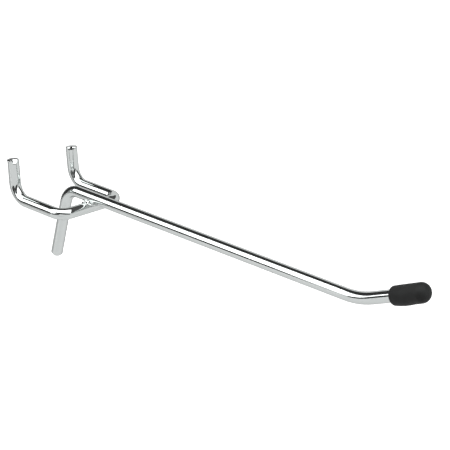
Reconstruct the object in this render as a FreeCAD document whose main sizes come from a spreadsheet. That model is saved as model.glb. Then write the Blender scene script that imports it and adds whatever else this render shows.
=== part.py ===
import FreeCAD, Part
import math
import os

import Sketcher
from FreeCAD import Placement, Rotation, Vector

# A two-peg pegboard hook, as it hangs on a board.
# The board's front face is the plane Y = 0, -Y points out into the room, X runs along the row of holes
# and +Z is up. The origin lies on that face, midway between the two pegs, on their centrelines.

# Sizes in millimetres and degrees: name, value, what it measures
SIZES = [
    ("wire_diameter", 4.0, "the one gauge of wire that both bent pieces are made of"),
    ("arm_rise", 15.5, "angle of the arm and of the pegs to the board's normal"),
    ("weld_set_down", 0.3, "how far the arm sinks into the crossbar when they are welded"),
    ("leg_length", 27.4, "bracing leg, from the rear corner down to its cut end"),
    ("leg_chamfer", 0.8, "chamfer round the leg's cut end"),
    ("rear_bend_radius", 7.0, "rear bend of the arm, on the wire's centreline"),
    ("arm_length", 135.4, "arm, from the rear corner to the tip's corner"),
    ("tip_turn", 21.0, "angle by which the tip turns up out of the arm"),
    ("tip_bend_radius", 30.0, "gentle bend of the tip, on the centreline"),
    ("tip_length", 26.4, "tip, from its corner to the wire's end inside the cap"),
    ("peg_spacing", 25.4, "centre to centre of the pegs, the pitch of a one-inch board"),
    ("crossbar_reach", 14.8, "crossbar's centreline in front of the board, along the pegs"),
    ("crossbar_bend_radius", 4.0, "bends from the crossbar into the pegs"),
    ("left_peg_reach", 9.7, "left peg's corner behind the board's front face"),
    ("right_peg_reach", 8.9, "right peg's corner behind it, where the wire was bent sooner"),
    ("prong_bend_radius", 6.0, "bends from the pegs up into the prongs"),
    ("left_prong_length", 13.7, "left prong, from its corner to its cut end"),
    ("right_prong_length", 12.8, "right prong, from its corner to its cut end"),
    ("left_prong_lean", 4.5, "backward lean of the left prong from a right angle to its peg"),
    ("right_prong_lean", 6.3, "backward lean of the right prong from a right angle to its peg"),
    ("left_crop_depth", 1.5, "how far down the left prong's front its crop mark reaches"),
    ("left_crop_width", 2.9, "how far across the left prong's end its crop mark reaches"),
    ("right_crop_depth", 0.5, "how far down the right prong's front its crop mark reaches"),
    ("right_crop_width", 3.4, "how far across the right prong's end its crop mark reaches"),
    ("weld_spread_along", 1.2, "weld bead past the crossbar's sides, along the arm"),
    ("weld_spread_across", 0.9, "weld bead past the arm's sides, along the crossbar"),
    ("weld_height", 2.9, "weld bead from top to bottom, about the wires' contact"),
    ("cap_length", 13.6, "tip cap, from its open end to its nose"),
    ("cap_mouth_diameter", 5.65, "outside diameter of the cap at its open end"),
    ("cap_diameter", 6.2, "largest outside diameter of the cap"),
    ("cap_taper_length", 7.5, "length over which the cap swells to its full diameter"),
    ("cap_lip_chamfer", 0.35, "chamfer round the lip of the cap's open end"),
    ("cap_shoulder_radius", 2.8, "rounding between the cap's side and its nose"),
    ("cap_nose_radius", 4.2, "flatter dome of the cap's nose"),
    ("cap_nose_wall", 2.2, "rubber between the wire's end and the nose"),
    ("cap_clearance", 0.0, "gap between the wire and the cap's bore, a stretched fit"),
]

doc = FreeCAD.newDocument("pegboard_hook")
sheet = doc.addObject("Spreadsheet::Sheet", "Sizes")
for row, (alias, value, meaning) in enumerate(SIZES, start=1):
    sheet.set(f"A{row}", alias)
    sheet.set(f"B{row}", str(value))
    sheet.set(f"C{row}", meaning)
    sheet.setAlias(f"B{row}", alias)
doc.recompute()

# How a sketch numbers the ends of its lines and arcs, its own origin and its two axes
START, END, CENTRE = 1, 2, 3
ORIGIN = (-1, 1)
ACROSS, UPRIGHT = -1, -2


def worked_out(formula):
    """The present value of a formula of the sheet's sizes."""
    return float(sheet.evalExpression(formula.replace("Sizes.", "")))


def new_body(label):
    body = doc.addObject("PartDesign::Body", label)
    body.Label = label
    return body


def new_sketch(body, role, name):
    """A sketch on one of the body's own origin planes."""
    sketch = body.newObject("Sketcher::SketchObject", name)
    plane = next(feature for feature in body.Origin.OriginFeatures if feature.Role == role)
    sketch.AttachmentSupport = (plane, "")
    sketch.MapMode = "FlatFace"
    return sketch


def tie(sketch, kind, *where):
    sketch.addConstraint(Sketcher.Constraint(kind, *where))


def measure(sketch, kind, *where, to):
    """A dimension in a sketch, tied to a formula of the sheet's sizes."""
    start_value = worked_out(to)
    if kind == "Angle":
        start_value = math.radians(start_value)
    index = sketch.addConstraint(Sketcher.Constraint(kind, *where, start_value))
    sketch.setExpression(f"Constraints[{index}]", to)


def line(sketch, start, end):
    return sketch.addGeometry(Part.LineSegment(Vector(*start), Vector(*end)), False)


def construction_point(sketch, place):
    return sketch.addGeometry(Part.Point(Vector(*place)), True)


def bent_path(sketch, points, radii):
    """Straight runs of wire through the points, with a tangent bend at each inner one.

    The radii are formulas of the sheet. Gives back the numbers of the runs.
    """
    points = [Vector(*point) for point in points]
    starts, ends, bends = [points[0]], [], []
    for before, corner, after, radius in zip(points, points[1:], points[2:], radii):
        back = (before - corner).normalize()
        onward = (after - corner).normalize()
        half_turn = (math.pi - back.getAngle(onward)) / 2
        setback = worked_out(radius) * math.tan(half_turn)
        to_centre = (back + onward).normalize()
        middle = corner + to_centre * worked_out(radius) * (1 / math.cos(half_turn) - 1)
        ends.append(corner + back * setback)
        starts.append(corner + onward * setback)
        turns_left = onward.cross(back).z > 0
        bends.append((ends[-1], middle, starts[-1], turns_left))
    ends.append(points[-1])
    runs = [line(sketch, start, end) for start, end in zip(starts, ends)]
    for run, next_run, (first, middle, last, turns_left), radius in zip(runs, runs[1:], bends, radii):
        curve = Part.Arc(first, middle, last) if turns_left else Part.Arc(last, middle, first)
        bend = sketch.addGeometry(curve, False)
        near_end, far_end = (START, END) if turns_left else (END, START)
        tie(sketch, "Tangent", run, END, bend, near_end)
        tie(sketch, "Tangent", next_run, START, bend, far_end)
        measure(sketch, "Radius", bend, to=radius)
    return runs


def wire_section(body, role, name, across=0.0):
    """The round section of the wire, on one of the body's planes."""
    section = new_sketch(body, role, name)
    circle = section.addGeometry(Part.Circle(Vector(across, 0, 0), Vector(0, 0, 1), 1.0), False)
    measure(section, "Diameter", circle, to="Sizes.wire_diameter")
    tie(section, "PointOnObject", circle, CENTRE, ACROSS)
    return section, circle


def swept_wire(body, section, path, name):
    pipe = body.newObject("PartDesign::AdditivePipe", name)
    pipe.Profile = section
    pipe.Spine = path
    body.Tip = pipe
    doc.recompute()
    return pipe


# Hook wire: bracing leg, arm and upturned tip, bent from one length in one plane
# Its own origin is the rear corner, where the leg's and the arm's centrelines meet.

hook_wire = new_body("hook_wire")

foot_section, foot_circle = wire_section(hook_wire, "XY_Plane", "foot_section")
foot_section.setExpression("AttachmentOffset.Base.z", "-Sizes.leg_length")
tie(foot_section, "PointOnObject", foot_circle, CENTRE, UPRIGHT)

tip_corner = (worked_out("-Sizes.arm_length * cos(Sizes.arm_rise)"),
              worked_out("Sizes.arm_length * sin(Sizes.arm_rise)"), 0)
tip_end = (tip_corner[0] - worked_out("Sizes.tip_length * cos(Sizes.arm_rise + Sizes.tip_turn)"),
           tip_corner[1] + worked_out("Sizes.tip_length * sin(Sizes.arm_rise + Sizes.tip_turn)"), 0)
foot = (0, worked_out("-Sizes.leg_length"), 0)

hook_path = new_sketch(hook_wire, "YZ_Plane", "hook_path")
leg, arm, tip = bent_path(hook_path, [foot, (0, 0, 0), tip_corner, tip_end],
                          ["Sizes.rear_bend_radius", "Sizes.tip_bend_radius"])
tie(hook_path, "PointOnObject", leg, START, UPRIGHT)
tie(hook_path, "PointOnObject", leg, END, UPRIGHT)
measure(hook_path, "DistanceY", leg, START, *ORIGIN, to="Sizes.leg_length")
tie(hook_path, "PointOnObject", *ORIGIN, arm)
measure(hook_path, "Angle", arm, to="180 - Sizes.arm_rise")
measure(hook_path, "Angle", tip, to="180 - Sizes.arm_rise - Sizes.tip_turn")
corner = construction_point(hook_path, tip_corner)
tie(hook_path, "PointOnObject", corner, START, arm)
tie(hook_path, "PointOnObject", corner, START, tip)
measure(hook_path, "Distance", *ORIGIN, corner, START, to="Sizes.arm_length")
measure(hook_path, "Distance", corner, START, tip, END, to="Sizes.tip_length")

hook_sweep = swept_wire(hook_wire, foot_section, hook_path, "hook_sweep")


def lowest_edge(shape):
    """Number of the edge whose middle lies lowest."""
    heights = [edge.BoundBox.Center.z for edge in shape.Edges]
    return heights.index(min(heights)) + 1


foot_chamfer = hook_wire.newObject("PartDesign::Chamfer", "foot_chamfer")
foot_chamfer.Base = (hook_sweep, [f"Edge{lowest_edge(hook_sweep.Shape)}"])
foot_chamfer.setExpression("Size", "Sizes.leg_chamfer")
hook_wire.Tip = foot_chamfer

# The leg lies flat on the board, and the arm's centreline runs one wire, less the weld's set-down,
# above the pegs' centrelines.
rear_corner_y = "-Sizes.wire_diameter / 2"
rear_corner_z = ("(Sizes.wire_diameter / 2 * tan(Sizes.arm_rise)"
                 " + (Sizes.wire_diameter - Sizes.weld_set_down) / cos(Sizes.arm_rise))")
hook_wire.setExpression("Placement.Base.y", rear_corner_y)
hook_wire.setExpression("Placement.Base.z", rear_corner_z)

# Peg wire: a crossbar under the arm, two pegs through the board and two prongs behind it, from one length
# It is drawn with the crossbar and the pegs in the plane Z = 0, then tilted with the arm.

bent_peg_wire = new_body("bent_peg_wire")
half_spacing = worked_out("Sizes.peg_spacing / 2")
crossbar_reach = worked_out("Sizes.crossbar_reach")

loop_path = new_sketch(bent_peg_wire, "XY_Plane", "loop_path")
left_run, crossbar, right_run = bent_path(
    loop_path,
    [(-half_spacing, 0, 0), (-half_spacing, -crossbar_reach, 0),
     (half_spacing, -crossbar_reach, 0), (half_spacing, 0, 0)],
    ["Sizes.crossbar_bend_radius", "Sizes.crossbar_bend_radius"])
tie(loop_path, "Horizontal", crossbar)
measure(loop_path, "DistanceY", crossbar, START, *ORIGIN, to="Sizes.crossbar_reach")
for run, free_end in ((left_run, START), (right_run, END)):
    tie(loop_path, "Vertical", run)
    tie(loop_path, "PointOnObject", run, free_end, ACROSS)
measure(loop_path, "DistanceX", left_run, START, *ORIGIN, to="Sizes.peg_spacing / 2")
measure(loop_path, "DistanceX", *ORIGIN, right_run, END, to="Sizes.peg_spacing / 2")


def add_prong(side, sign, section):
    """The rear half of one peg, its bend, its prong and the crop mark on the prong's end."""
    reach = f"Sizes.{side}_peg_reach"
    length = f"Sizes.{side}_prong_length"
    lean = f"Sizes.{side}_prong_lean"
    peg_corner = (worked_out(reach), 0, 0)
    prong_end = (worked_out(f"{reach} + {length} * sin({lean})"), worked_out(f"{length} * cos({lean})"), 0)

    path = new_sketch(bent_peg_wire, "YZ_Plane", f"{side}_prong_path")
    path.setExpression("AttachmentOffset.Base.z", f"{sign} * Sizes.peg_spacing / 2")
    peg, prong = bent_path(path, [(0, 0, 0), peg_corner, prong_end], ["Sizes.prong_bend_radius"])
    tie(path, "Coincident", peg, START, *ORIGIN)
    tie(path, "PointOnObject", peg, END, ACROSS)
    corner = construction_point(path, peg_corner)
    tie(path, "PointOnObject", corner, START, ACROSS)
    tie(path, "PointOnObject", corner, START, prong)
    measure(path, "DistanceX", *ORIGIN, corner, START, to=reach)
    measure(path, "Distance", corner, START, prong, END, to=length)
    measure(path, "Angle", prong, to=f"90 - {lean}")
    swept_wire(bent_peg_wire, section, path, f"{side}_prong_sweep")

    # The sloping mark that the cropping blade left: a wedge off the front of the prong's end.
    # Its sketch lies across the end, with its own upright axis along the prong.
    depth = f"Sizes.{side}_crop_depth"
    width = f"Sizes.{side}_crop_width"
    wedge = new_sketch(bent_peg_wire, "YZ_Plane", f"{side}_crop_wedge")
    wedge.AttachmentOffset = Placement(Vector(), Rotation(Vector(0, 0, 1), 1.0))
    wedge.setExpression("AttachmentOffset.Rotation.Angle", f"-{lean}")
    wedge.setExpression("AttachmentOffset.Base.x", f"{reach} + {length} * sin({lean})")
    wedge.setExpression("AttachmentOffset.Base.y", f"{length} * cos({lean})")
    wedge.setExpression("AttachmentOffset.Base.z", f"{sign} * Sizes.peg_spacing / 2")
    front = worked_out(f"-Sizes.wire_diameter / 2 - {width}")
    low = worked_out(f"-2 * {depth}")
    high = worked_out(depth)
    rear = worked_out(f"-Sizes.wire_diameter / 2 + 2 * {width}")
    upright = line(wedge, (front, high, 0), (front, low, 0))
    slope = line(wedge, (front, low, 0), (rear, high, 0))
    level = line(wedge, (rear, high, 0), (front, high, 0))
    tie(wedge, "Coincident", upright, END, slope, START)
    tie(wedge, "Coincident", slope, END, level, START)
    tie(wedge, "Coincident", level, END, upright, START)
    tie(wedge, "Vertical", upright)
    tie(wedge, "Horizontal", level)
    measure(wedge, "DistanceX", upright, START, *ORIGIN, to=f"Sizes.wire_diameter / 2 + {width}")
    measure(wedge, "DistanceY", *ORIGIN, upright, START, to=depth)
    measure(wedge, "DistanceX", upright, START, slope, END, to=f"3 * {width}")
    measure(wedge, "DistanceY", upright, END, upright, START, to=f"3 * {depth}")
    crop = bent_peg_wire.newObject("PartDesign::Pocket", f"{side}_crop")
    crop.Profile = wedge
    crop.SideType = "Symmetric"
    crop.setExpression("Length", "2 * Sizes.wire_diameter")
    bent_peg_wire.Tip = crop
    doc.recompute()


left_section, left_circle = wire_section(bent_peg_wire, "XZ_Plane", "left_section", -half_spacing)
measure(left_section, "DistanceX", left_circle, CENTRE, *ORIGIN, to="Sizes.peg_spacing / 2")
right_section, right_circle = wire_section(bent_peg_wire, "XZ_Plane", "right_section", half_spacing)
measure(right_section, "DistanceX", *ORIGIN, right_circle, CENTRE, to="Sizes.peg_spacing / 2")

swept_wire(bent_peg_wire, left_section, loop_path, "loop_sweep")
add_prong("left", -1, left_section)
add_prong("right", 1, right_section)

bent_peg_wire.Placement = Placement(Vector(), Rotation(Vector(1, 0, 0), 1.0))
bent_peg_wire.setExpression("Placement.Rotation.Angle", "-Sizes.arm_rise")

# The arm's shallow seat in the crossbar, where the two wires sank together
peg_wire = doc.addObject("Part::Cut", "peg_wire")
peg_wire.Label = "peg_wire"
peg_wire.Base = bent_peg_wire
peg_wire.Tool = hook_wire

# Weld: the metal squeezed out round the contact of the arm and the crossbar
# It is an oval bead less the two wires, so it fills the four corners of their crossing.

weld_bead = doc.addObject("Part::Ellipsoid", "weld_bead")
weld_bead.setExpression("Radius1", "Sizes.weld_height / 2")
weld_bead.setExpression("Radius2", "Sizes.wire_diameter / 2 + Sizes.weld_spread_across")
weld_bead.setExpression("Radius3", "Sizes.wire_diameter / 2 + Sizes.weld_spread_along")
weld_bead.Placement = Placement(Vector(), Rotation(Vector(1, 0, 0), 1.0))
weld_bead.setExpression("Placement.Rotation.Angle", "-Sizes.arm_rise")
contact_height = "(Sizes.wire_diameter - Sizes.weld_set_down) / 2"
weld_bead.setExpression("Placement.Base.y", f"-Sizes.crossbar_reach * cos(Sizes.arm_rise)"
                        f" + {contact_height} * sin(Sizes.arm_rise)")
weld_bead.setExpression("Placement.Base.z", f"Sizes.crossbar_reach * sin(Sizes.arm_rise)"
                        f" + {contact_height} * cos(Sizes.arm_rise)")

bead_off_arm = doc.addObject("Part::Cut", "bead_off_arm")
bead_off_arm.Base = weld_bead
bead_off_arm.Tool = hook_wire
weld = doc.addObject("Part::Cut", "weld")
weld.Label = "weld"
weld.Base = bead_off_arm
weld.Tool = peg_wire

# Tip cap: a soft sleeve with a domed nose, turned about its own Z axis and pushed over the tip
# Its own origin is the middle of its open end.

tip_cap = new_body("tip_cap")
bore_radius = worked_out("Sizes.wire_diameter / 2 + Sizes.cap_clearance")
mouth_radius = worked_out("Sizes.cap_mouth_diameter / 2")
full_radius = worked_out("Sizes.cap_diameter / 2")
lip = worked_out("Sizes.cap_lip_chamfer")
taper_length = worked_out("Sizes.cap_taper_length")
cap_length = worked_out("Sizes.cap_length")
bore_depth = worked_out("Sizes.cap_length - Sizes.cap_nose_wall")
shoulder = worked_out("Sizes.cap_shoulder_radius")
dome = worked_out("Sizes.cap_nose_radius")

# The shoulder's centre lies inside the dome, where the two arcs are tangent.
dome_height = cap_length - dome
shoulder_in = full_radius - shoulder
shoulder_height = dome_height + math.sqrt((dome - shoulder) ** 2 - shoulder_in ** 2)
lean_out = math.atan2(shoulder_height - dome_height, shoulder_in)
shoulder_top = (shoulder_in + shoulder * math.cos(lean_out), shoulder_height + shoulder * math.sin(lean_out), 0)

half_cap = new_sketch(tip_cap, "XZ_Plane", "half_cap")
mouth = line(half_cap, (bore_radius, 0, 0), (mouth_radius - lip, 0, 0))
lip_edge = line(half_cap, (mouth_radius - lip, 0, 0), (mouth_radius, lip, 0))
taper = line(half_cap, (mouth_radius, lip, 0), (full_radius, taper_length, 0))
side = line(half_cap, (full_radius, taper_length, 0), (full_radius, shoulder_height, 0))
shoulder_curve = half_cap.addGeometry(
    Part.ArcOfCircle(Part.Circle(Vector(shoulder_in, shoulder_height, 0), Vector(0, 0, 1), shoulder), 0, lean_out),
    False)
nose_curve = half_cap.addGeometry(
    Part.ArcOfCircle(Part.Circle(Vector(0, dome_height, 0), Vector(0, 0, 1), dome), lean_out, math.pi / 2), False)
axis = line(half_cap, (0, cap_length, 0), (0, bore_depth, 0))
floor = line(half_cap, (0, bore_depth, 0), (bore_radius, bore_depth, 0))
bore = line(half_cap, (bore_radius, bore_depth, 0), (bore_radius, 0, 0))

tie(half_cap, "Coincident", mouth, END, lip_edge, START)
tie(half_cap, "Coincident", lip_edge, END, taper, START)
tie(half_cap, "Coincident", taper, END, side, START)
tie(half_cap, "Tangent", side, END, shoulder_curve, START)
tie(half_cap, "Tangent", shoulder_curve, END, nose_curve, START)
tie(half_cap, "Coincident", nose_curve, END, axis, START)
tie(half_cap, "Coincident", axis, END, floor, START)
tie(half_cap, "Coincident", floor, END, bore, START)
tie(half_cap, "Coincident", bore, END, mouth, START)
tie(half_cap, "PointOnObject", mouth, START, ACROSS)
tie(half_cap, "Horizontal", mouth)
tie(half_cap, "Vertical", side)
tie(half_cap, "PointOnObject", axis, START, UPRIGHT)
tie(half_cap, "PointOnObject", axis, END, UPRIGHT)
tie(half_cap, "PointOnObject", nose_curve, CENTRE, UPRIGHT)
tie(half_cap, "Horizontal", floor)
tie(half_cap, "Vertical", bore)
measure(half_cap, "DistanceX", *ORIGIN, mouth, START, to="Sizes.wire_diameter / 2 + Sizes.cap_clearance")
measure(half_cap, "DistanceX", *ORIGIN, taper, START, to="Sizes.cap_mouth_diameter / 2")
measure(half_cap, "DistanceX", *ORIGIN, side, START, to="Sizes.cap_diameter / 2")
measure(half_cap, "DistanceY", *ORIGIN, side, START, to="Sizes.cap_taper_length")
measure(half_cap, "DistanceY", *ORIGIN, axis, START, to="Sizes.cap_length")
measure(half_cap, "DistanceY", axis, END, axis, START, to="Sizes.cap_nose_wall")
measure(half_cap, "DistanceX", lip_edge, START, lip_edge, END, to="Sizes.cap_lip_chamfer")
measure(half_cap, "DistanceY", lip_edge, START, lip_edge, END, to="Sizes.cap_lip_chamfer")
measure(half_cap, "Radius", shoulder_curve, to="Sizes.cap_shoulder_radius")
measure(half_cap, "Radius", nose_curve, to="Sizes.cap_nose_radius")

turned_cap = tip_cap.newObject("PartDesign::Revolution", "turned_cap")
turned_cap.Profile = half_cap
turned_cap.ReferenceAxis = (half_cap, ["V_Axis"])
turned_cap.Angle = 360
tip_cap.Tip = turned_cap

# The wire's end stops on the floor of the bore, so the cap's mouth lies one bore depth back from it.
tip_rise = "(Sizes.arm_rise + Sizes.tip_turn)"
mouth_from_corner = "(Sizes.tip_length - Sizes.cap_length + Sizes.cap_nose_wall)"
tip_cap.Placement = Placement(Vector(), Rotation(Vector(1, 0, 0), 1.0))
tip_cap.setExpression("Placement.Rotation.Angle", f"90 - {tip_rise}")
tip_cap.setExpression("Placement.Base.y", f"{rear_corner_y} - Sizes.arm_length * cos(Sizes.arm_rise)"
                      f" - {mouth_from_corner} * cos({tip_rise})")
tip_cap.setExpression("Placement.Base.z", f"{rear_corner_z} + Sizes.arm_length * sin(Sizes.arm_rise)"
                      f" + {mouth_from_corner} * sin({tip_rise})")

doc.recompute()

# Nothing is written unless every object of the model came out whole.
for item in doc.Objects:
    if "Invalid" in item.State or "Error" in item.State:
        raise RuntimeError(f"{item.Label} did not compute: {item.State}")

PIECES = [hook_wire, peg_wire, weld, tip_cap]
for piece in PIECES:
    if piece.Shape.isNull() or not piece.Shape.isValid() or len(piece.Shape.Solids) != 1:
        raise RuntimeError(f"{piece.Label} is not one sound solid")

os.makedirs("parts", exist_ok=True)
for piece in PIECES:
    piece.Shape.exportStep(f"parts/{piece.Label}.step")
    box = piece.Shape.BoundBox
    print(f"{piece.Label}: {piece.Shape.Volume:.1f} mm3, "
          f"x {box.XMin:.2f} to {box.XMax:.2f}, y {box.YMin:.2f} to {box.YMax:.2f}, "
          f"z {box.ZMin:.2f} to {box.ZMax:.2f}")
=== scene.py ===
# %% [markdown]
# A pegboard hook in bright plated wire
#
# The hook has four pieces: a long hook wire, a bent peg wire, the weld that joins the two, and a rubber
# cap on the tip. A frame with their exact solids comes first. Each solid could simply get a finish. Here
# each piece is modelled again round the frame, finer and smoother, because bright metal shows every facet
# of a coarse mesh as a broken reflection.

from math import asin, atan2, cos, degrees, pi, radians, sin, sqrt, tan

import bmesh
import bpy
from mathutils import Matrix, Vector, noise


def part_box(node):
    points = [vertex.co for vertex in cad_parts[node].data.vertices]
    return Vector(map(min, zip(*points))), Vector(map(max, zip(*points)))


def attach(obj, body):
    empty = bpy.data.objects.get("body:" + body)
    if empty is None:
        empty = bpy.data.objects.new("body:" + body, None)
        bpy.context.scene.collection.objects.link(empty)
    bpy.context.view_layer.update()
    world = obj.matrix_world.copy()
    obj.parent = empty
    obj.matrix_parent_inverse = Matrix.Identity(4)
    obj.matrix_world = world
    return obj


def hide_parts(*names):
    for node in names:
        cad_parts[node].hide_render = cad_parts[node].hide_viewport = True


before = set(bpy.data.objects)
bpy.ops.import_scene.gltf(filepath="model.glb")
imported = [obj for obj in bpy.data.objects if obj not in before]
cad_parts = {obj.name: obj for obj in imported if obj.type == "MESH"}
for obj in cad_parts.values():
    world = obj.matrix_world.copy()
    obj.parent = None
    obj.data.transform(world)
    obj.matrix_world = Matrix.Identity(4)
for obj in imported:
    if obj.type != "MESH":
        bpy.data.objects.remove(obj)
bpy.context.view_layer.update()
print("nodes:", sorted(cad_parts))

# %% [markdown]
# Units and gauge
#
# Everything is in metres, so a size in millimetres is written as a number times MM. Both wires are of one
# gauge. It could be typed in, but it is read off the frame, so that the pieces always fit their solids.

# %% Units and gauge
MM = 0.001
X_AXIS, Y_AXIS, Z_AXIS = Vector((1, 0, 0)), Vector((0, 1, 0)), Vector((0, 0, 1))

hook_low, hook_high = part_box("hook_wire")
WIRE_RADIUS = (hook_high.x - hook_low.x) / 2
print(f"wire gauge: {2 * WIRE_RADIUS / MM:.2f} mm")

# %% [markdown]
# Bending wire
#
# A bent wire could be a curve with a round bevel, or a circle swept along a path. Here it is made the way
# a wire bender makes it. A ring of edges stands for the cut end of the wire. Extruding the ring pays out a
# straight run, and spinning it round an axis makes a bend. Each point also keeps a note of where it lay
# in the wire before it was bent: across its section, and along its length. The finish uses that note
# later, so that drawing marks follow the wire round its bends.

# %% A wire that grows from one end
RING_SIDES = 72
BEND_STEP = radians(3.0)


class Wire:
    """A round wire, paid out a straight run or a bend at a time."""

    def __init__(self, here, ahead):
        self.mesh = bmesh.new()
        self.unbent = self.mesh.verts.layers.float_vector.new("unbent")
        self.here = here.copy()
        self.ahead = ahead.normalized()
        self.paid_out = 0.0
        facing = Matrix.Translation(here) @ self.ahead.to_track_quat("Z", "Y").to_matrix().to_4x4()
        bmesh.ops.create_circle(self.mesh, segments=RING_SIDES, radius=WIRE_RADIUS, matrix=facing)
        across = facing.inverted()
        for vert in self.mesh.verts:
            vert[self.unbent] = across @ vert.co
        self.ring = list(self.mesh.edges)
        self.first_ring = list(self.ring)

    def take_ring(self, made):
        """Keeps the newest ring of edges, and notes how far along the wire it lies."""
        new_verts = {item for item in made if isinstance(item, bmesh.types.BMVert)}
        self.ring = [item for item in made
                     if isinstance(item, bmesh.types.BMEdge) and set(item.verts) <= new_verts]
        for vert in new_verts:
            x, y, _ = vert[self.unbent]
            vert[self.unbent] = (x, y, self.paid_out)

    def straight(self, length, pieces=1):
        """Pays out a straight run."""
        for _ in range(pieces):
            self.paid_out += length / pieces
            self.here += self.ahead * (length / pieces)
            made = bmesh.ops.extrude_edge_only(self.mesh, edges=self.ring)["geom"]
            verts = [item for item in made if isinstance(item, bmesh.types.BMVert)]
            bmesh.ops.translate(self.mesh, verts=verts, vec=self.ahead * (length / pieces))
            self.take_ring(made)

    def bend(self, radius, angle, axis):
        """Turns the wire about the axis, by the right-hand rule."""
        centre = self.here + axis.cross(self.ahead) * radius
        steps = max(2, round(angle / BEND_STEP))
        turn = Matrix.Rotation(angle / steps, 3, axis)
        for _ in range(steps):
            self.paid_out += radius * angle / steps
            # A dict's keys are a set that keeps its order, so every run bends the ring in the same order.
            ring_verts = dict.fromkeys(vert for edge in self.ring for vert in edge.verts)
            made = bmesh.ops.spin(self.mesh, geom=[*ring_verts, *self.ring], cent=centre, axis=axis,
                                  angle=angle / steps, steps=1, use_merge=False, use_duplicate=False)
            self.here = centre + turn @ (self.here - centre)
            self.ahead = turn @ self.ahead
            self.take_ring(made["geom_last"])


print(f"{RING_SIDES} sides round the wire, and a ring every {degrees(BEND_STEP):.0f} degrees of a bend")

# %% [markdown]
# Corners and bends
#
# A bender's drawing gives straight lengths from corner to corner, but a bend starts before its corner.
# That setback could be measured on a drawing. For a round bend it is its radius times the tangent of half
# the turn, so a short function gives it for every bend.

# %% How far before a corner its bend begins


def setback(radius, turn):
    """How far before its corner a bend of that radius and turn begins."""
    return radius * tan(turn / 2)


print(f"a right-angled bend of 4 mm begins {setback(4.0, pi / 2):.1f} mm before its corner")

# %% [markdown]
# Measuring a piece
#
# A piece that is modelled again can drift away from the solid that it stands for. It could be judged by
# eye. It is safer to set the box round the mesh against the box round its solid and print the largest gap.

# %% Set a mesh against its solid


def off_its_solid(data, node):
    """The largest distance between the sides of the mesh's box and those of the solid's box."""
    low = Vector(min(vert.co[i] for vert in data.vertices) for i in range(3))
    high = Vector(max(vert.co[i] for vert in data.vertices) for i in range(3))
    solid_low, solid_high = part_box(node)
    return max(abs(gap) for gap in (*(low - solid_low), *(high - solid_high)))


print("solid boxes are read from:", ", ".join(sorted(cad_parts)))

# %% [markdown]
# From mesh to piece
#
# Every piece ends the same way. Its faces are turned outwards and shaded smooth, and edges sharper than a
# bend keep a crease. Smooth shading alone would bend the reflection on a flat face towards its rounded
# rim. More faces could cure that. A Weighted Normal modifier does it without them, because it lets the
# larger face decide. The object then rides on the part's one body and stands for its solid.

# %% Finish a piece
CREASE = radians(32)


def make_piece(mesh, name, node, material, crease=CREASE):
    """Turns a bmesh into a finished object that replaces its solid."""
    bmesh.ops.recalc_face_normals(mesh, faces=mesh.faces)
    for face in mesh.faces:
        face.smooth = True
    for edge in mesh.edges:
        edge.smooth = edge.calc_face_angle(0) < crease
    data = bpy.data.meshes.new(name)
    mesh.to_mesh(data)
    mesh.free()
    piece = bpy.data.objects.new(name, data)
    bpy.context.scene.collection.objects.link(piece)
    piece.data.materials.append(material)
    weighted = piece.modifiers.new("flat faces stay flat", "WEIGHTED_NORMAL")
    weighted.keep_sharp = True
    weighted.weight = 100
    weighted.thresh = 0.1 * MM * MM
    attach(piece, "root")
    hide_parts(node)
    off = off_its_solid(data, node)
    print(f"{name}: {len(data.polygons)} faces, off its solid's box by at most {off / MM:.2f} mm")
    return piece


print(f"edges sharper than {degrees(CREASE):.0f} degrees keep a crease")

# %% [markdown]
# Building materials from nodes
#
# A material could be put together by hand in the shader editor. In a script, three small helpers keep it
# short. One adds a node and sets it. One starts a material. One stretches the middle values of a noise
# over a wanted range, because a noise seldom comes near 0 or 1.

# %% Helpers for materials


def node_of(tree, kind, **settings):
    """Adds a node, and sets its own properties and its sockets by name."""
    node = tree.nodes.new(kind)
    for name, value in settings.items():
        if hasattr(node, name):
            setattr(node, name, value)
        else:
            node.inputs[name.replace("_", " ").title()].default_value = value
    return node


def new_material(name):
    material = bpy.data.materials.new(name)
    material.use_nodes = True
    tree = material.node_tree
    shader = tree.nodes["Principled BSDF"]
    return material, tree, shader


def spread(tree, source, low, high):
    """The source's middle values stretched to run from low to high."""
    ranged = node_of(tree, "ShaderNodeMapRange", From_Min=0.3, From_Max=0.7, To_Min=low, To_Max=high)
    tree.links.new(source, ranged.inputs["Value"])
    return ranged.outputs["Result"]


print("helpers:", node_of.__name__, new_material.__name__, spread.__name__)

# %% [markdown]
# Plated wire finish
#
# Drawn steel wire is smooth, and its bright plating follows that surface, so the metal is nearly a mirror.
# Real plating is still not perfect: faint lines from the drawing die run along the wire, and the coating
# is slightly cloudy in patches. The lines could be painted in an image. Here they come from noise that is
# stretched along the unbent wire, and the clouds from noise on Object coordinates. Both only change the
# roughness and a very slight bump, because the colour that shows is the studio's.

# %% Plated metal material
PLATING_COLOUR = (0.59, 0.615, 0.609, 1.0)
PLATING_EDGE_TINT = (0.75, 0.75, 0.75, 1.0)
DIE_LINE_STRETCH = (3000.0, 3000.0, 40.0)


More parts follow.
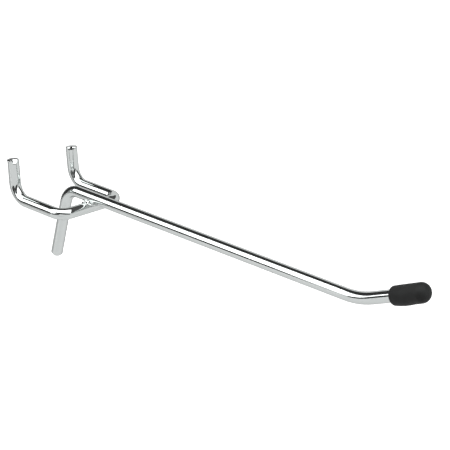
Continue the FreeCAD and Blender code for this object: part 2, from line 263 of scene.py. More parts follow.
def plated_metal(name, roughness_low, roughness_high, cloud_bump):
    """Bright plating that is cloudy in patches, with faint lines along the unbent wire."""
    material, tree, shader = new_material(name)
    shader.inputs["Base Color"].default_value = PLATING_COLOUR
    shader.inputs["Metallic"].default_value = 1.0
    shader.inputs["Specular Tint"].default_value = PLATING_EDGE_TINT

    place = tree.nodes.new("ShaderNodeTexCoord")
    clouds = node_of(tree, "ShaderNodeTexNoise", Scale=420.0, Detail=4.0, Roughness=0.6)
    tree.links.new(place.outputs["Object"], clouds.inputs["Vector"])
    tree.links.new(spread(tree, clouds.outputs["Fac"], roughness_low, roughness_high),
                   shader.inputs["Roughness"])

    unbent = node_of(tree, "ShaderNodeAttribute", attribute_name="unbent")
    stretch = node_of(tree, "ShaderNodeMapping", Scale=DIE_LINE_STRETCH)
    tree.links.new(unbent.outputs["Vector"], stretch.inputs["Vector"])
    die_lines = node_of(tree, "ShaderNodeTexNoise", Scale=1.0, Detail=3.0, Roughness=0.5)
    tree.links.new(stretch.outputs["Vector"], die_lines.inputs["Vector"])

    lines = node_of(tree, "ShaderNodeBump", Strength=0.05, Distance=0.02 * MM)
    tree.links.new(die_lines.outputs["Fac"], lines.inputs["Height"])
    cloudy = node_of(tree, "ShaderNodeBump", Strength=cloud_bump, Distance=0.05 * MM)
    tree.links.new(clouds.outputs["Fac"], cloudy.inputs["Height"])
    tree.links.new(lines.outputs["Normal"], cloudy.inputs["Normal"])
    tree.links.new(cloudy.outputs["Normal"], shader.inputs["Normal"])
    return material


plated_wire = plated_metal("plated_wire", roughness_low=0.04, roughness_high=0.12, cloud_bump=0.05)
plated_weld = plated_metal("plated_weld", roughness_low=0.12, roughness_high=0.28, cloud_bump=0.3)
print("materials:", plated_wire.name, plated_weld.name)

# %% [markdown]
# Hook wire
#
# The hook wire is one length of wire, bent in one plane: a bracing leg that stands flat on the board, the
# long arm, and a tip that turns up a little to keep goods from sliding off. Its sizes are those that a
# bender would be given: straight lengths from corner to corner, the turn at each corner and the radius of
# each bend. Points on a traced outline could give the same line, but not these numbers.

# %% Sizes of the hook wire
LEG_LENGTH = 27.4 * MM
LEG_CHAMFER = 0.8 * MM
REAR_BEND = 7.0 * MM
ARM_RISE = radians(15.5)
ARM_LENGTH = 135.4 * MM
TIP_TURN = radians(21.0)
TIP_BEND = 30.0 * MM
TIP_LENGTH = 26.4 * MM
WELD_SET_DOWN = 0.3 * MM

REAR_CORNER = Vector((0, -WIRE_RADIUS,
                      WIRE_RADIUS * tan(ARM_RISE) + (2 * WIRE_RADIUS - WELD_SET_DOWN) / cos(ARM_RISE)))
REAR_TURN = pi / 2 - ARM_RISE
print(f"the arm's line meets the leg's line {REAR_CORNER.z / MM:.2f} mm above the pegs")

# %% [markdown]
# Cut ends of the hook wire
#
# The leg's foot is a cut end with a chamfer, so that it doesn't scratch the board. The ring of edges is
# filled with one face, and its border is bevelled with one segment. A rounded bevel could do both jobs at
# once, but a real chamfer is a flat cone. Its two rims still look too sharp, because every real edge has
# lost a little of its bite, so they get a second and much finer bevel.

# %% Close a cut end


def close_end(mesh, ring, chamfer, rounding):
    """Fills a ring of edges, chamfers it and takes the bite off the chamfer's own edges."""
    mesh.faces.ensure_lookup_table()
    cap = bmesh.ops.contextual_create(mesh, geom=ring)["faces"][0]
    cut = bmesh.ops.bevel(mesh, geom=list(cap.edges), offset=chamfer, offset_type="OFFSET", affect="EDGES",
                          segments=1, profile=0.5, material=-1)
    slope = set(cut["faces"])
    rims = [edge for edge in dict.fromkeys(edge for face in cut["faces"] for edge in face.edges)
            if len([face for face in edge.link_faces if face in slope]) == 1]
    bmesh.ops.bevel(mesh, geom=rims, offset=rounding, offset_type="OFFSET", affect="EDGES",
                    segments=2, profile=0.5, material=-1)
    print(f"chamfer of {chamfer / MM:.2f} mm between {len(rims)} rounded edges")


# %% [markdown]
# Paying out the hook wire
#
# The wire starts at the leg's foot and is paid out upwards, and its two corners are bends about the X
# axis. It could start at the tip just as well. From the foot, the leg is sure to stand upright on the
# board. The other end stays inside the cap, and its place and direction are kept for it.

# %% Model the hook wire
hook = Wire(REAR_CORNER - Z_AXIS * LEG_LENGTH, Z_AXIS)
hook.straight(LEG_LENGTH - setback(REAR_BEND, REAR_TURN), pieces=6)
hook.bend(REAR_BEND, REAR_TURN, X_AXIS)
hook.straight(ARM_LENGTH - setback(REAR_BEND, REAR_TURN) - setback(TIP_BEND, TIP_TURN), pieces=24)
hook.bend(TIP_BEND, TIP_TURN, -X_AXIS)
hook.straight(TIP_LENGTH - setback(TIP_BEND, TIP_TURN), pieces=4)
tip_end, tip_ahead = hook.here.copy(), hook.ahead.copy()
print(f"hook wire: {hook.paid_out / MM:.1f} mm of wire")

# %% [markdown]
# Finishing the hook wire
#
# Both ends could be left open, because the foot is small and the cap hides the other end, but only a
# closed mesh is a solid that can be printed or weighed. The foot gets its full chamfer. The end inside
# the cap only loses its burr.

# %% Close the hook wire's ends
close_end(hook.mesh, hook.first_ring, LEG_CHAMFER, rounding=0.12 * MM)
close_end(hook.mesh, hook.ring, 0.2 * MM, rounding=0.05 * MM)
hook_piece = make_piece(hook.mesh, "hook_wire_plated", "hook_wire", plated_wire)

# %% [markdown]
# Peg wire
#
# The second wire is bent into a loop. Its crossbar lies under the arm, its two pegs pass through the
# board, and its prongs stand up behind it. One half could be modelled and mirrored, but no bender hits
# both sides alike: the left prong stands a little further back, a little taller and a little straighter.
# So each prong has its own sizes. The loop is drawn level, and tilted with the arm when it is done.

# %% Sizes of the peg wire
PEG_SPACING = 25.4 * MM
CROSSBAR_REACH = 14.8 * MM
CROSSBAR_BEND = 4.0 * MM
PRONG_BEND = 6.0 * MM
PRONGS = {
    "left": {"reach": 9.7 * MM, "length": 13.7 * MM, "lean": radians(4.5)},
    "right": {"reach": 8.9 * MM, "length": 12.8 * MM, "lean": radians(6.3)},
}
CROP_REACH = 2.4 * MM
TILT = Matrix.Rotation(-ARM_RISE, 4, "X")


def prong_end(side, sign):
    """The end of a prong's centreline and the direction down the prong, before the loop is tilted."""
    prong = PRONGS[side]
    down = Vector((0, -sin(prong["lean"]), -cos(prong["lean"])))
    corner = Vector((sign * PEG_SPACING / 2, prong["reach"], 0))
    return corner - down * prong["length"], down


start, start_down = prong_end("left", -1)
print("the wire starts at", [round(value / MM, 2) for value in start], "mm")

# %% [markdown]
# Paying out the peg wire
#
# The wire starts at the end of the left prong and is paid out down, forward, across and back to the right
# prong's end. It could be two halves joined at the crossbar, but one length has no seam. The last few
# millimetres at each end get rings close together, because these ends are pushed out of shape next.

# %% Model the peg wire
left, right = PRONGS["left"], PRONGS["right"]
left_turn = pi / 2 - left["lean"]
right_turn = pi / 2 - right["lean"]
left_setback = setback(PRONG_BEND, left_turn)
right_setback = setback(PRONG_BEND, right_turn)
corner_setback = setback(CROSSBAR_BEND, pi / 2)

pegs = Wire(start, start_down)
pegs.straight(CROP_REACH, pieces=8)
pegs.straight(left["length"] - left_setback - CROP_REACH, pieces=3)
pegs.bend(PRONG_BEND, left_turn, -X_AXIS)
pegs.straight(left["reach"] - left_setback + CROSSBAR_REACH - corner_setback, pieces=5)
pegs.bend(CROSSBAR_BEND, pi / 2, Z_AXIS)
pegs.straight(PEG_SPACING - 2 * corner_setback, pieces=4)
pegs.bend(CROSSBAR_BEND, pi / 2, Z_AXIS)
pegs.straight(CROSSBAR_REACH - corner_setback + right["reach"] - right_setback, pieces=5)
pegs.bend(PRONG_BEND, right_turn, X_AXIS)
pegs.straight(right["length"] - right_setback - CROP_REACH, pieces=3)
pegs.straight(CROP_REACH, pieces=8)
print(f"peg wire: {pegs.paid_out / MM:.1f} mm of wire")

# %% [markdown]
# Cropped ends
#
# The prongs were cropped from the coil between two blades. Such an end is never a clean disc: the blade
# leaves a sloping facet on the side where it came in, the break behind it stays rough, and some metal is
# dragged over the rim. The facet could be cut with a plane, but it is hollow and runs out in curves. So
# the end gets many small faces, and each point is sunk by a depth that depends on where it lies. Places
# are given in millimetres from the wire's centre: to the front, and across to the right.

# %% How deep the left end is sunk


def ramp(low, high, value):
    """Rises evenly from 0 to 1 between low and high."""
    return min(1.0, max(0.0, (value - low) / (high - low)))


def left_hollow(front, across):
    """How deep the left end is sunk: a steep facet in front, with a wall on its right."""
    # The whole end rises slightly to the front.
    hump = 0.1 * (front + 1.9) * ramp(1.8, 1.0, abs(across))
    # The facet begins 0.65 mm in front of the centre and falls at about 45 degrees.
    facet = 1.05 * (front - 0.65) * ramp(-1.55, -0.25, across)
    # Its rim falls away more steeply, and a wall closes it on the right.
    rim = 2.2 * max(0.0, sqrt(front ** 2 + across ** 2) - 1.86) * ramp(-1.2, -0.6, across)
    right_wall = 1.6 * (1.3 - across) + 0.5 * (front - 1.0)
    # On the far left the metal was only dragged down a little.
    dragged = 0.3 * max(0.0, front + 0.3) * ramp(-1.2, -1.5, across)
    return max(0.0, min(facet + rim * ramp(0.4, 0.8, front), right_wall)) + dragged - hump


print(f"left end: {left_hollow(1.9, 0.0):.2f} mm deep in front, {left_hollow(-1.9, 0.0):.2f} mm behind")

# %% [markdown]
# The right prong's end
#
# This end was cropped more squarely. Most of it is flat, its front slopes away gently, and a narrow band
# in the middle was sheared further back than the rest. One function for both ends would need many
# switches, so each end has its own.

# %% How deep the right end is sunk


def right_hollow(front, across):
    """How deep the right end is sunk: a gentle slope in front, fading towards both sides."""
    # The slope begins just behind the centre in the sheared middle, and further forward elsewhere.
    sheared = 0.4 * max(0.0, front + 0.1)
    scooped = sheared * ramp(0.6, 1.05, front)
    middle = ramp(0.5, 0.25, abs(across))
    return (scooped + (sheared - scooped) * middle) * (1 - 0.5 * ramp(1.2, 1.8, abs(across)))


print(f"right end: {right_hollow(1.9, 0.0):.2f} mm deep in front, {right_hollow(-1.9, 0.0):.2f} mm behind")

# %% [markdown]
# Small faces on an end
#
# The ring of edges is filled with one face, and that face is inset again and again towards its middle. A
# grid cut with a knife could also give the points, but rings stay round like the wire. They lie closer
# together near the rim, where the shape changes fastest.

# %% Fill an end with rings
END_RINGS = [thickness * MM for thickness in (0.12, 0.11, 0.11, *8 * [0.17])]
SQUARE_RIM = 1.2


def fill_end(wire, ring):
    """Fills a ring of edges with rings of small faces, and gives their centre and the rim's edges."""
    end = bmesh.ops.contextual_create(wire.mesh, geom=ring)["faces"]
    centre = end[0].calc_center_median()
    for thickness in END_RINGS:
        bmesh.ops.inset_region(wire.mesh, faces=end, thickness=thickness, use_even_offset=True)
    bmesh.ops.poke(wire.mesh, faces=end)
    rim = [edge for edge in wire.mesh.edges if edge.calc_face_angle(0) > SQUARE_RIM
           and all((vert.co - centre).length < 1.1 * WIRE_RADIUS for vert in edge.verts)]
    return centre, rim


print(f"{len(END_RINGS)} rings cover {sum(END_RINGS) / MM:.2f} of the end's {WIRE_RADIUS / MM:.2f} mm radius")

# %% [markdown]
# Sinking an end
#
# The end is sunk along the wire, and the depth fades out down the wire, so that the faces of the wall
# aren't squashed. The burr is pushed out sideways at the rim. The rim is then bevelled. After points have
# been moved by hand, a bmesh still has its old face normals, and a bevel made with those overshoots, so
# they are brought up to date first.

# %% Sink and round an end
BURR_HEIGHT = 0.6
END_ZONE = 4


def crop_end(wire, ring, outward, turn_left, hollow, burr, rounding):
    """Fills a ring and sinks it. The facet faces forwards, turned to the left by an angle."""
    centre, rim = fill_end(wire, ring)
    facing = Matrix.Rotation(turn_left, 3, -outward) @ X_AXIS.cross(outward)
    across = outward.cross(facing)
    for vert in wire.mesh.verts:
        place = (vert.co - centre) / MM
        below = -place.dot(outward)
        if below < CROP_REACH / MM and place.length < END_ZONE:
            front, side = place.dot(facing), place.dot(across)
            depth = hollow(front, side) * ramp(CROP_REACH / MM, 0.0, below)
            on_the_left = ramp(-1.6, -2.0, side) * ramp(1.0, 0.3, abs(front - 0.1))
            dragged = burr * ramp(BURR_HEIGHT, 0.0, below) * on_the_left
            vert.co -= outward * depth * MM
            vert.co -= across * dragged * MM
    wire.mesh.normal_update()
    bmesh.ops.bevel(wire.mesh, geom=rim, offset=rounding, offset_type="OFFSET", affect="EDGES",
                    segments=3, profile=0.5, material=-1)
    print(f"sunk an end and rounded its {len(rim)} rim edges by {rounding / MM:.2f} mm")


# %% [markdown]
# Cropping both prongs
#
# The two blades never meet a wire at the same angle twice. The left facet is turned 30 degrees to the left
# and has a burr, and the right one is turned 40 degrees and has none. Then the whole loop is tilted. It
# could have been drawn at that tilt from the start, but level numbers are easier to read and to check.

# %% Crop both prongs and tilt the loop
crop_end(pegs, pegs.first_ring, -start_down, radians(30), left_hollow, burr=0.2, rounding=0.08 * MM)
crop_end(pegs, pegs.ring, pegs.ahead, radians(40), right_hollow, burr=0.0, rounding=0.05 * MM)
bmesh.ops.transform(pegs.mesh, matrix=TILT, verts=pegs.mesh.verts)
pegs_piece = make_piece(pegs.mesh, "peg_wire_plated", "peg_wire", plated_wire)

# %% [markdown]
# Weld
#
# The arm was pressed on to the crossbar while a current melted their contact, and some metal was squeezed
# out into the corners of the crossing. It froze in lumps and creases. A bead could be sculpted by hand.
# Here a ball of small triangles is squeezed to the bead's size and pushed in and out with noise, because
# no two such beads are alike. The noise has no random start, so it is the same in every run.

# %% Model the weld
CROSSBAR_MIDDLE = TILT @ Vector((0, -CROSSBAR_REACH, 0))
CONTACT = CROSSBAR_MIDDLE + TILT @ (Z_AXIS * (WIRE_RADIUS - WELD_SET_DOWN / 2))
WELD_REACH = Vector((WIRE_RADIUS + 0.9 * MM, WIRE_RADIUS + 1.2 * MM, 1.45 * MM))
LUMPS_PER_RADIUS = 2.8
LUMP_PLACE = Vector((6.1, 2.2, 8.4))
LUMP_HEIGHT = 0.16

weld = bmesh.new()
bmesh.ops.create_icosphere(weld, subdivisions=5, radius=1.0)
for vert in weld.verts:
    place = vert.co.normalized()
    ridged = noise.hetero_terrain(place * LUMPS_PER_RADIUS + LUMP_PLACE, 0.9, 2.1, 3, 0.4)
    size = 1.0 + LUMP_HEIGHT * (ridged - 0.9)
    vert.co = Vector((place[i] * WELD_REACH[i] for i in range(3))) * size
bmesh.ops.transform(weld, matrix=Matrix.Translation(CONTACT) @ TILT, verts=weld.verts)
weld_piece = make_piece(weld, "weld_bead", "weld", plated_weld, crease=radians(70))

# %% [markdown]
# Tip cap
#
# The cap is a soft black sleeve with a domed nose. It could be an extruded cylinder with a rounded end,
# but its side swells slightly and its nose is flatter than half a ball. So half of its section is drawn
# as a line and spun later. The line is drawn with a single point: extruding the point draws a straight
# stretch, and spinning it draws an arc. A swelling side is an arc too, given by how far it stands out.

# %% A line drawn with one point


class Outline:
    """A line that one point draws in the XZ plane."""

    def __init__(self, x, z):
        self.mesh = bmesh.new()
        self.point = self.mesh.verts.new((x, 0, z))

    def to(self, x, z):
        """Draws a straight stretch."""
        made = bmesh.ops.extrude_vert_indiv(self.mesh, verts=[self.point])
        self.point = made["verts"][0]
        self.point.co = (x, 0, z)

    def arc(self, x, z, angle, steps):
        """Swings the point round a centre, clockwise as seen with +X to the right and +Z up."""
        made = bmesh.ops.spin(self.mesh, geom=[self.point], cent=(x, 0, z), axis=Y_AXIS,
                              angle=angle, steps=steps, use_merge=False, use_duplicate=False)
        self.point = next(item for item in made["geom_last"] if isinstance(item, bmesh.types.BMVert))

    def swell(self, x, z, swelling, steps):
        """Swings the point to x, z along an arc that stands out from the straight line by the swelling."""
        here, there = self.point.co.copy(), Vector((x, 0, z))
        half_line = (there - here).length / 2
        radius = (half_line ** 2 + swelling ** 2) / (2 * swelling)
        inwards = Y_AXIS.cross(there - here).normalized()
        centre = (here + there) / 2 + inwards * (radius - swelling)
        self.arc(centre.x, centre.z, 2 * asin(half_line / radius), steps)


print("an outline can draw:", Outline.to.__name__, Outline.arc.__name__, Outline.swell.__name__)

# %% [markdown]
# The cap's section
#
# The cap is drawn upright about Z, with its mouth at the origin. The line starts at the top of the nose,
# goes round the dome, the shoulder, the swelling side and the rounded lip, and then up inside the bore.
# The dome and the shoulder are two arcs that flow into each other, so the shoulder's centre has to lie
# inside the dome, at the difference of the two radii from the dome's centre.

# %% Draw the cap's half section
CAP_LENGTH = 13.6 * MM
CAP_MOUTH_RADIUS = 3.02 * MM
CAP_RADIUS = 3.17 * MM
CAP_TAPER = 7.5 * MM
CAP_SWELL = 0.12 * MM
CAP_LIP = 0.25 * MM
CAP_SHOULDER = 2.8 * MM
CAP_DOME = 4.2 * MM
CAP_NOSE_WALL = 2.2 * MM

dome_centre = CAP_LENGTH - CAP_DOME
shoulder_in = CAP_RADIUS - CAP_SHOULDER
shoulder_centre = dome_centre + sqrt((CAP_DOME - CAP_SHOULDER) ** 2 - shoulder_in ** 2)
lean_out = atan2(shoulder_centre - dome_centre, shoulder_in)

half = Outline(0, CAP_LENGTH)
half.arc(0, dome_centre, pi / 2 - lean_out, 5)
half.arc(shoulder_in, shoulder_centre, lean_out, 16)
half.to(CAP_RADIUS, CAP_TAPER)
half.swell(CAP_MOUTH_RADIUS, CAP_LIP, CAP_SWELL, 12)
half.arc(CAP_MOUTH_RADIUS - CAP_LIP, CAP_LIP, pi / 2, 6)
half.to(WIRE_RADIUS, 0)
half.to(WIRE_RADIUS, CAP_LENGTH - CAP_NOSE_WALL)
half.to(0, CAP_LENGTH - CAP_NOSE_WALL)
print(f"cap section: {len(half.mesh.verts)} points")

# %% [markdown]
# Spinning the cap
#
# A full turn of the section closes the cap, and the points that fall together on the axis and at the seam
# are merged. A Screw modifier could do the same turn, but the cap has to be a plain mesh for the next
# step: a soft cap is never perfectly straight. This one sags a little near its mouth and lifts its nose.
# Only its outside moves, so the bore still fits the wire.

# %% Spin the cap and let it sag
CAP_SAG = 0.10 * MM
CAP_LIFT = 0.15 * MM
SAG_SHARE = 0.6
NOSE_SHARE = 0.9

cap = half.mesh
bmesh.ops.spin(cap, geom=[*cap.verts, *cap.edges], cent=(0, 0, 0), axis=Z_AXIS, angle=2 * pi,
               steps=96, use_merge=True, use_duplicate=False)
bmesh.ops.remove_doubles(cap, verts=cap.verts, dist=0.001 * MM)
for vert in cap.verts:
    along = vert.co.z / CAP_LENGTH
    if vert.co.xy.length > 1.1 * WIRE_RADIUS or along > NOSE_SHARE:
        vert.co.y += CAP_LIFT * along ** 2 - CAP_SAG * sin(pi * min(1.0, along / SAG_SHARE))
print(f"cap: {len(cap.verts)} points, nose lifted by {CAP_LIFT / MM:.2f} mm")

# %% [markdown]
# Pushing the cap over the tip
#
# The cap could be an object that is turned and moved into place, but a pattern on Object coordinates and
# the box round the piece both rely on an unturned object at the origin. So the mesh itself is moved. The
# columns of the matrix are the directions that the cap's own X, Y and Z end up in.

# %% Push the cap over the tip
mouth = tip_end - tip_ahead * (CAP_LENGTH - CAP_NOSE_WALL)
tip_directions = Matrix((X_AXIS, tip_ahead.cross(X_AXIS), tip_ahead)).transposed()
along_tip = Matrix.Translation(mouth) @ tip_directions.to_4x4()
bmesh.ops.transform(cap, matrix=along_tip, verts=cap.verts)
print("the cap's mouth is at", [round(value / MM, 2) for value in mouth], "mm")

# %% [markdown]
# Black rubber
#
# Dipped rubber is dark and dull, but not one flat black. It has a fine grain, and dust and handling make
# it a little greyer in patches. A single dark colour would look like a hole. Two noises on Object
# coordinates break it up: a broad one for the grey patches and the roughness, and a fine one for the
# grain's bump.

# %% Rubber material
RUBBER_DARK = (0.006, 0.0064, 0.0064, 1)
RUBBER_GREYER = (0.013, 0.0138, 0.0137, 1)

cap_rubber, tree, shader = new_material("cap_rubber")
place = tree.nodes.new("ShaderNodeTexCoord")
patches = node_of(tree, "ShaderNodeTexNoise", Scale=260.0, Detail=3.0, Roughness=0.55)
grain = node_of(tree, "ShaderNodeTexNoise", Scale=2600.0, Detail=2.0, Roughness=0.5)
tree.links.new(place.outputs["Object"], patches.inputs["Vector"])
tree.links.new(place.outputs["Object"], grain.inputs["Vector"])
tint = tree.nodes.new("ShaderNodeValToRGB")
dark, greyer = tint.color_ramp.elements
dark.position, dark.color = 0.35, RUBBER_DARK
greyer.position, greyer.color = 0.7, RUBBER_GREYER
tree.links.new(patches.outputs["Fac"], tint.inputs["Fac"])
tree.links.new(tint.outputs["Color"], shader.inputs["Base Color"])
tree.links.new(spread(tree, patches.outputs["Fac"], 0.55, 0.72), shader.inputs["Roughness"])
shader.inputs["Specular IOR Level"].default_value = 0.2
grainy = node_of(tree, "ShaderNodeBump", Strength=0.35, Distance=0.06 * MM)
tree.links.new(grain.outputs["Fac"], grainy.inputs["Height"])
tree.links.new(grainy.outputs["Normal"], shader.inputs["Normal"])
cap_piece = make_piece(cap, "tip_cap_rubber", "tip_cap", cap_rubber)

# %% [markdown]
# Camera
#
# The photograph was taken from in front and to the left of the hook and from above, with the camera
# rolled a little. The camera could track the hook with a constraint, but then its roll would be lost. So
# its three directions are worked out: back from the hook, sideways with the roll, and upward. A long lens
# keeps the arm's far and near ends close in size.

# %% Set up the camera
VIEW_AZIMUTH = radians(-49.53)
VIEW_ELEVATION = radians(31.21)
VIEW_ROLL = radians(12.9)
VIEW_DISTANCE = 632.4 * MM
VIEW_CENTRE = Vector((0, -74.73, 32.63)) * MM
LENS = 160.0

back = Vector((sin(VIEW_AZIMUTH) * cos(VIEW_ELEVATION), -cos(VIEW_AZIMUTH) * cos(VIEW_ELEVATION),
               sin(VIEW_ELEVATION)))
level = Z_AXIS.cross(back).normalized()
sideways = Matrix.Rotation(VIEW_ROLL, 3, back) @ level
upward = back.cross(sideways)
lens = bpy.data.cameras.new("camera")
lens.lens = LENS
lens.sensor_width = 36.0
camera = bpy.data.objects.new("camera", lens)
bpy.context.scene.collection.objects.link(camera)
camera.matrix_world = (Matrix.Translation(VIEW_CENTRE + back * VIEW_DISTANCE)
                       @ Matrix((sideways, upward, back)).transposed().to_4x4())
bpy.context.scene.camera = camera
print("camera at", [round(value / MM, 1) for value in camera.location], "mm")

# %% [markdown]
# Studio for bright metal
#
# Bright metal has hardly a look of its own: it shows the room. A panorama picture could serve as the room,
# but then nobody could say which part makes which line. Here the hook stands in a white room with large
# soft lamps, and dark cards give it its dark lines. A direction in the room is given as azimuth and
# elevation, seen from the hook: azimuth 0 lies in front of the board, and -90 to its left. Widths and
# heights are given in degrees too, as the hook sees them.

# %% Place things by direction
LAMP_DISTANCE = 1.5
CARD_DISTANCE = 1.3


def direction(azimuth, elevation):
    """A direction in the room, from degrees."""
    azimuth, elevation = radians(azimuth), radians(elevation)
    return Vector((sin(azimuth) * cos(elevation), -cos(azimuth) * cos(elevation), sin(elevation)))


def facing_hook(azimuth, elevation, distance, tilt=0.0):
    """Where a flat thing goes so that its back is turned to the hook, tilted in its own plane."""
    out = direction(azimuth, elevation)
    turn = out.to_track_quat("Z", "Y").to_matrix() @ Matrix.Rotation(radians(tilt), 3, "Z")
    return Matrix.Translation(VIEW_CENTRE + out * distance) @ turn.to_4x4()


def extent(angle, distance):
    """How wide a thing is that covers an angle, in degrees, at a distance."""
    return 2 * distance * tan(radians(angle) / 2)


print(f"a lamp of 60 degrees is {extent(60, LAMP_DISTANCE):.2f} m wide")

# %% [markdown]
# Soft lamps
#
# Two large lamps make the long white bands on the wire and the soft shade on the floor. A point lamp
# would only show as a dot in the metal. The third lamp lights the cap's nose, which is dull and needs
# real light, and it is kept out of the metal, where it would add a band that the real wire doesn't have.

# %% Set up the soft lamps
WATTS_FOR_BRIGHTNESS = 4


def soft_lamp(name, azimuth, elevation, width, height, brightness, in_metal=True):
    """A rectangular lamp that covers width by height degrees and shines at the hook."""
    data = bpy.data.lights.new(name, "AREA")
    data.shape = "RECTANGLE"
    data.size = extent(width, LAMP_DISTANCE)
    data.size_y = extent(height, LAMP_DISTANCE)
    data.energy = brightness * WATTS_FOR_BRIGHTNESS * data.size * data.size_y
    lamp = bpy.data.objects.new(name, data)
    bpy.context.scene.collection.objects.link(lamp)
    lamp.matrix_world = facing_hook(azimuth, elevation, LAMP_DISTANCE)
    lamp.visible_glossy = in_metal
    print(f"{name}: {data.size:.2f} by {data.size_y:.2f} m, {data.energy:.1f} W")
    return lamp


soft_lamp("left_lamp", azimuth=-134, elevation=26, width=60, height=60, brightness=1.9)
soft_lamp("top_lamp", azimuth=-40, elevation=76, width=80, height=50, brightness=1.9)
soft_lamp("nose_lamp", azimuth=25, elevation=36, width=40, height=40, brightness=4.0, in_metal=False)

# %% [markdown]
# Cards for the dark lines
#
# A photographer puts cards round bright metal, and each shows as a dark line along the wire. A black
# object could be modelled for each, but a flat card is enough. A card has to show at one even shade
# whatever light falls on it, so it is black and glows very slightly. It only shows in the metal: it keeps
# no light off the hook and casts no shadow.

# %% Make a card


def dark_card(name, azimuth, elevation, width, height, shade, tilt=0.0, distance=CARD_DISTANCE):
    """A card that covers width by height degrees and shows at one even shade in the metal."""
    mesh = bmesh.new()
    bmesh.ops.create_grid(mesh, x_segments=1, y_segments=1, size=0.5)
    bmesh.ops.scale(mesh, vec=(extent(width, distance), extent(height, distance), 1), verts=mesh.verts)
    bmesh.ops.transform(mesh, matrix=facing_hook(azimuth, elevation, distance, tilt),
                        verts=mesh.verts)
    data = bpy.data.meshes.new(name)
    mesh.to_mesh(data)
    mesh.free()
    card = bpy.data.objects.new(name, data)
    bpy.context.scene.collection.objects.link(card)
    material, tree, shader = new_material(name)
    shader.inputs["Base Color"].default_value = (0, 0, 0, 1)
    shader.inputs["Specular IOR Level"].default_value = 0.0
    shader.inputs["Emission Color"].default_value = (1, 1, 1, 1)
    shader.inputs["Emission Strength"].default_value = shade
    data.materials.append(material)
    card.visible_camera = False
    card.visible_diffuse = False
    card.visible_shadow = False
    print(f"{name}: {extent(width, distance):.2f} by {extent(height, distance):.2f} m")
    return card


# %% [markdown]
# Placing the cards
#
# Each card could be moved about until the render looks right. It is quicker to work backwards: a dark
# line at one place on the wire is the reflection of one direction in the room, and there stands a card.
# The rear, front and side cards make the broad dark bands, and the low card makes the thin line under
# the white band. The under card and the edge card are only grey, for the shade on the wire's underside.

# %% Set up the cards
dark_card("rear_card", azimuth=172.5, elevation=22, width=45, height=90, tilt=34, shade=0.045)
dark_card("low_card", azimuth=-154, elevation=-18, width=54, height=21, tilt=11, distance=0.85, shade=0.05)
dark_card("under_card", azimuth=-160, elevation=-36, width=42, height=14, distance=0.75, shade=0.65)
dark_card("edge_card", azimuth=132, elevation=-33, width=62, height=46, distance=0.7, shade=0.3)
dark_card("front_card", azimuth=-60, elevation=34, width=120, height=28, shade=0.06)
dark_card("right_card", azimuth=74, elevation=46, width=84, height=36, shade=0.11)
dark_card("side_card", azimuth=-96, elevation=0, width=56, height=21, tilt=24, distance=1.0, shade=0.07)

# %% [markdown]
# Telling rays apart
#
# Lamps alone would have to be far too bright to make a floor white, and they would bleach the hook too. So
# the floor and the room have a strength of their own that depends on who looks: the camera, the metal, or
# light on its way to other things. It could be faked with two floors. A Light Path node does it with one.

# %% Tell rays apart


def any_ray(tree, *kinds):
    """1 for a ray of one of these kinds, and 0 for all others."""
    rays = tree.nodes.new("ShaderNodeLightPath")
    found = rays.outputs[kinds[0]]
    for kind in kinds[1:]:
        either = node_of(tree, "ShaderNodeMath", operation="MAXIMUM")
        tree.links.new(found, either.inputs[0])
        tree.links.new(rays.outputs[kind], either.inputs[1])
        found = either.outputs[0]
    return found


def scaled(tree, source, factor):
    """The source times a factor."""
    product = node_of(tree, "ShaderNodeMath", operation="MULTIPLY")
    tree.links.new(source, product.inputs[0])
    product.inputs[1].default_value = factor
    return product.outputs[0]


print("rays are told apart by:", any_ray.__name__)

# %% [markdown]
# Floor
#
# A plain pale floor lies well below the hook. It could be curved up behind it as a backdrop, but the room
# is as white as the floor, so no edge shows between them and a flat floor is enough.

# %% Lay the floor
FLOOR_HEIGHT = -0.45

floor_mesh = bmesh.new()
bmesh.ops.create_grid(floor_mesh, x_segments=1, y_segments=1, size=1.2)
bmesh.ops.translate(floor_mesh, verts=floor_mesh.verts, vec=(0, 0, FLOOR_HEIGHT))
floor_data = bpy.data.meshes.new("floor")
floor_mesh.to_mesh(floor_data)
floor_mesh.free()
floor = bpy.data.objects.new("floor", floor_data)
bpy.context.scene.collection.objects.link(floor)
print(f"the floor lies {-FLOOR_HEIGHT / MM:.0f} mm under the pegs")

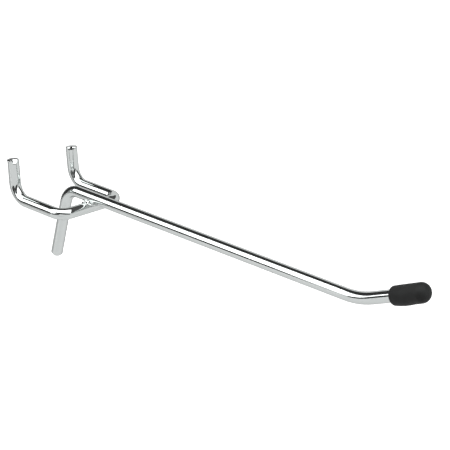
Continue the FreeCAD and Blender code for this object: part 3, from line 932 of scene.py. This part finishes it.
# %% [markdown]
# Floor paint
#
# The floor's colour is a light grey that takes the lamps' light and the hook's soft shadow. Pure emission
# would be whiter still, but it would lose the shadow. Only what is missing to white is added as a glow for
# the camera, and the metal sees a fainter one, because the underside of the wire is grey and not white.

# %% Paint the floor
FLOOR_COLOUR = (0.6, 0.6, 0.6, 1)
GLOW_TO_CAMERA = 0.75
GLOW_IN_METAL = 0.11

floor_paint, tree, shader = new_material("floor_paint")
shader.inputs["Base Color"].default_value = FLOOR_COLOUR
shader.inputs["Roughness"].default_value = 0.9
shader.inputs["Specular IOR Level"].default_value = 0.0
shader.inputs["Emission Color"].default_value = (1, 1, 1, 1)
to_camera = scaled(tree, any_ray(tree, "Is Camera Ray"), GLOW_TO_CAMERA)
to_metal = scaled(tree, any_ray(tree, "Is Glossy Ray", "Is Transmission Ray"), GLOW_IN_METAL)
glow = node_of(tree, "ShaderNodeMath", operation="ADD")
tree.links.new(to_camera, glow.inputs[0])
tree.links.new(to_metal, glow.inputs[1])
tree.links.new(glow.outputs[0], shader.inputs["Emission Strength"])
floor_data.materials.append(floor_paint)
print("floor paint:", floor_paint.name)

# %% [markdown]
# Room
#
# The room round the hook is the world. To the camera and in the metal it shows at a strength of 1, which
# is plain white. It could light the hook at that strength too, but then the rubber would look grey and
# the shadows would vanish. So for all other rays it gives only a quarter of that, as a soft fill.

# %% Set up the white room
ROOM_FILL = 0.25

world = bpy.data.worlds.new("white_room")
world.use_nodes = True
bpy.context.scene.world = world
tree = world.node_tree
background = tree.nodes["Background"]
background.inputs["Color"].default_value = (1, 1, 1, 1)
strength = node_of(tree, "ShaderNodeMapRange", To_Min=ROOM_FILL, To_Max=1.0)
tree.links.new(any_ray(tree, "Is Camera Ray", "Is Glossy Ray", "Is Transmission Ray"),
               strength.inputs["Value"])
tree.links.new(strength.outputs["Result"], background.inputs["Strength"])
bpy.context.scene.view_settings.view_transform = "Standard"
print(f"room: strength 1 where it is seen, {ROOM_FILL} where it only gives light")
